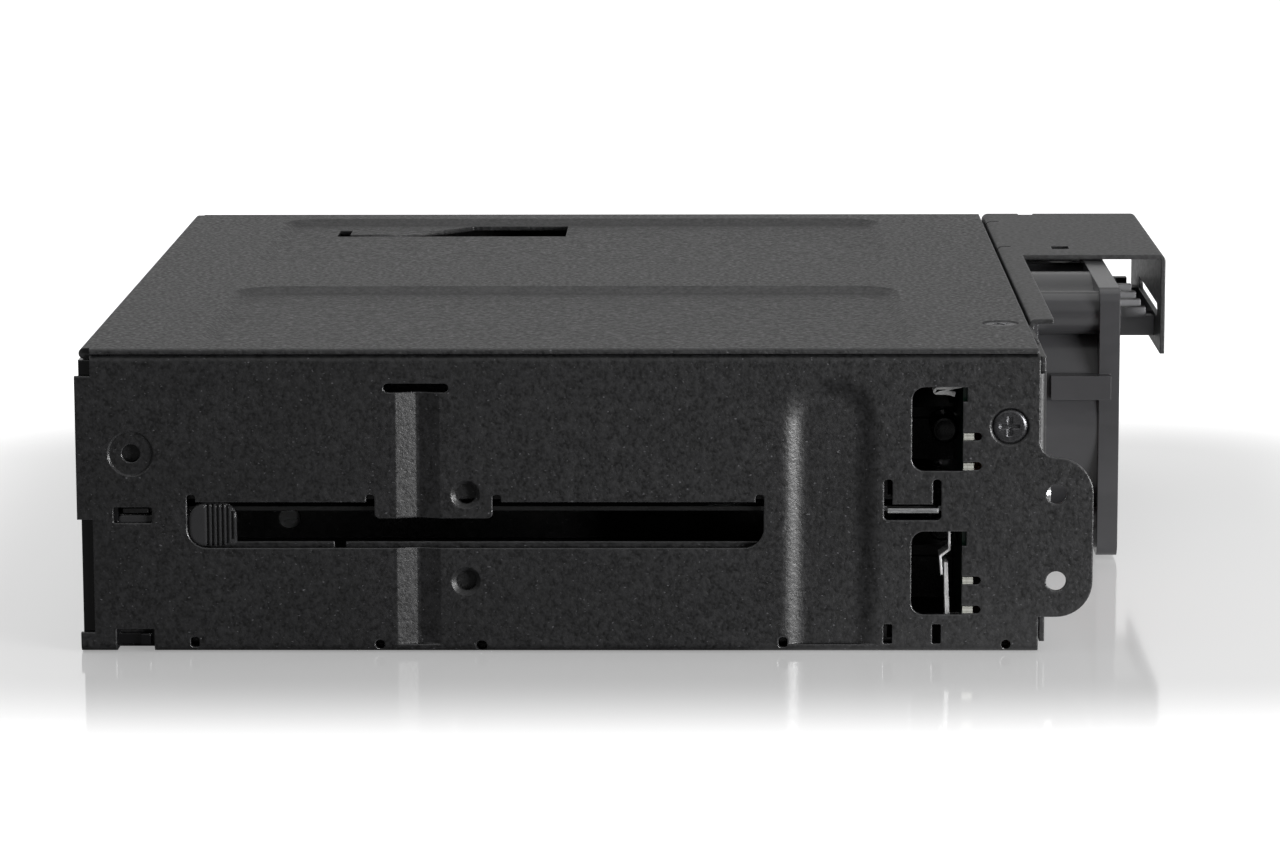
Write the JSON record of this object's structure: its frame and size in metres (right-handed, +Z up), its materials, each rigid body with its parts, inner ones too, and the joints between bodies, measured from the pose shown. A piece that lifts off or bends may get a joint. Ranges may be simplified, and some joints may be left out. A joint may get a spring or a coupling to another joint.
{
  "type": "drive bay cage",
  "caption": "Folded steel hot-swap cage for a 5.25 inch bay, with slide-out trays for 2.5 inch drives, a backplane and a rear cooling fan.",
  "frame": {"origin": "on the underside, on the centre line, midway between the front and rear side mounting holes", "axes": "+Z up, +Y to the rear of the cage, +X to the right of someone facing the tray fronts"},
  "size_m": [0.146, 0.1547, 0.0413],
  "materials": {
    "side_coat": "fine-textured black powder coat on steel",
    "cover_coat": "fine-textured black powder coat on steel",
    "rear_coat": "fine-textured black powder coat on steel",
    "zinc_sheet": "zinc-coated sheet, satin",
    "black_plastic": "moulded, satin",
    "black_screws": "black zinc",
    "circuit_board": "solder resist",
    "brass_spacers": "turned",
    "plated_screws": "bright plated",
    "socket_plastic": "moulded",
    "port_plastic": "moulded",
    "capacitor_sleeve": "shrink sleeve",
    "spring_steel": "bright strip",
    "comb_plastic": "moulded",
    "fan_plastic": "moulded, slightly glossy",
    "bearing_brass": "sintered",
    "winding": "enamelled wire on laminations",
    "rotor_plastic": "moulded",
    "lead_sleeve": "insulated leads",
    "header_plastic": "natural nylon",
    "switch_can": "tinned can",
    "knob_plastic": "moulded",
    "tray_steel": "black coated sheet",
    "bezel_plastic": "moulded, satin",
    "handle_plastic": "moulded, satin",
    "pin_steel": "drawn wire",
    "button_plastic": "moulded",
    "lock_metal": "plated zinc",
    "lens_plastic": "clear light pipe"
  },
  "bodies": {
    "cage": {"chassis": "side_coat", "top_cover": "cover_coat", "mid_shelf": "zinc_sheet", "lower_divider": "zinc_sheet", "upper_divider": "zinc_sheet", "front_frame": "black_plastic", "side_clips": "black_plastic", "rear_frame": "rear_coat", "case_screws": "black_screws", "backplane_board": "circuit_board", "board_spacers": "brass_spacers", "spacer_screws": "plated_screws", "drive_sockets": "socket_plastic", "data_ports": "port_plastic", "power_inlets": "socket_plastic", "capacitors": "capacitor_sleeve", "ground_clips": "spring_steel", "cable_comb": "comb_plastic", "fan_frame": "fan_plastic", "fan_bearing": "bearing_brass", "fan_stator": "winding", "fan_screws": "plated_screws", "fan_cable": "lead_sleeve", "fan_header": "header_plastic", "fan_switch": "switch_can"},
    "fan_wheel": {"fan_rotor": "rotor_plastic"},
    "switch_knob": {"fan_switch_knob": "knob_plastic"},
    "tray_1": {"tray_pan_1": "tray_steel", "tray_bezel_1": "bezel_plastic", "handle_pin_1": "pin_steel", "handle_spring_1": "spring_steel", "tray_lens_1": "lens_plastic"},
    "handle_1": {"tray_handle_1": "handle_plastic"},
    "button_1": {"latch_button_1": "button_plastic"},
    "lock_1": {"tray_lock_1": "lock_metal"},
    "tray_2": {"tray_pan_2": "tray_steel", "tray_bezel_2": "bezel_plastic", "handle_pin_2": "pin_steel", "handle_spring_2": "spring_steel", "tray_lens_2": "lens_plastic"},
    "handle_2": {"tray_handle_2": "handle_plastic"},
    "button_2": {"latch_button_2": "button_plastic"},
    "lock_2": {"tray_lock_2": "lock_metal"},
    "tray_3": {"tray_pan_3": "tray_steel", "tray_bezel_3": "bezel_plastic", "handle_pin_3": "pin_steel", "handle_spring_3": "spring_steel", "tray_lens_3": "lens_plastic"},
    "handle_3": {"tray_handle_3": "handle_plastic"},
    "button_3": {"latch_button_3": "button_plastic"},
    "lock_3": {"tray_lock_3": "lock_metal"},
    "tray_4": {"tray_pan_4": "tray_steel", "tray_bezel_4": "bezel_plastic", "handle_pin_4": "pin_steel", "handle_spring_4": "spring_steel", "tray_lens_4": "lens_plastic"},
    "handle_4": {"tray_handle_4": "handle_plastic"},
    "button_4": {"latch_button_4": "button_plastic"},
    "lock_4": {"tray_lock_4": "lock_metal"}
  },
  "joints": [
    {"name": "fan_spin", "type": "hinge", "parent": "cage", "child": "fan_wheel", "pos_m": [-0.01, 0.04507, 0.0204], "axis": [0, 1, 0], "continuous": true},
    {"name": "fan_switch_slide", "type": "slide", "parent": "cage", "child": "switch_knob", "axis": [1, 0, 0], "range_m": [0, 0.003]},
    {"name": "tray_slide_1", "type": "slide", "parent": "cage", "child": "tray_1", "axis": [0, -1, 0], "range_m": [0, 0.11]},
    {"name": "handle_swing_1", "type": "hinge", "parent": "tray_1", "child": "handle_1", "pos_m": [-0.06765, -0.08883, 0.0294], "axis": [0, 0, -1], "range_deg": [0, 75]},
    {"name": "latch_press_1", "type": "slide", "parent": "tray_1", "child": "button_1", "axis": [0, 1, 0], "range_m": [0, 0.002]},
    {"name": "lock_turn_1", "type": "hinge", "parent": "tray_1", "child": "lock_1", "pos_m": [-0.00685, -0.08793, 0.0258], "axis": [0, 1, 0], "range_deg": [0, 90]},
    {"name": "tray_slide_2", "type": "slide", "parent": "cage", "child": "tray_2", "axis": [0, -1, 0], "range_m": [0, 0.11]},
    {"name": "handle_swing_2", "type": "hinge", "parent": "tray_2", "child": "handle_2", "pos_m": [0.00405, -0.08883, 0.0294], "axis": [0, 0, -1], "range_deg": [0, 75]},
    {"name": "latch_press_2", "type": "slide", "parent": "tray_2", "child": "button_2", "axis": [0, 1, 0], "range_m": [0, 0.002]},
    {"name": "lock_turn_2", "type": "hinge", "parent": "tray_2", "child": "lock_2", "pos_m": [0.06485, -0.08793, 0.0258], "axis": [0, 1, 0], "range_deg": [0, 90]},
    {"name": "tray_slide_3", "type": "slide", "parent": "cage", "child": "tray_3", "axis": [0, -1, 0], "range_m": [0, 0.11]},
    {"name": "handle_swing_3", "type": "hinge", "parent": "tray_3", "child": "handle_3", "pos_m": [-0.06765, -0.08883, 0.0098], "axis": [0, 0, -1], "range_deg": [0, 75]},
    {"name": "latch_press_3", "type": "slide", "parent": "tray_3", "child": "button_3", "axis": [0, 1, 0], "range_m": [0, 0.002]},
    {"name": "lock_turn_3", "type": "hinge", "parent": "tray_3", "child": "lock_3", "pos_m": [-0.00685, -0.08793, 0.0062], "axis": [0, 1, 0], "range_deg": [0, 90]},
    {"name": "tray_slide_4", "type": "slide", "parent": "cage", "child": "tray_4", "axis": [0, -1, 0], "range_m": [0, 0.11]},
    {"name": "handle_swing_4", "type": "hinge", "parent": "tray_4", "child": "handle_4", "pos_m": [0.00405, -0.08883, 0.0098], "axis": [0, 0, -1], "range_deg": [0, 75]},
    {"name": "latch_press_4", "type": "slide", "parent": "tray_4", "child": "button_4", "axis": [0, 1, 0], "range_m": [0, 0.002]},
    {"name": "lock_turn_4", "type": "hinge", "parent": "tray_4", "child": "lock_4", "pos_m": [0.06485, -0.08793, 0.0062], "axis": [0, 1, 0], "range_deg": [0, 90]}
  ]
}
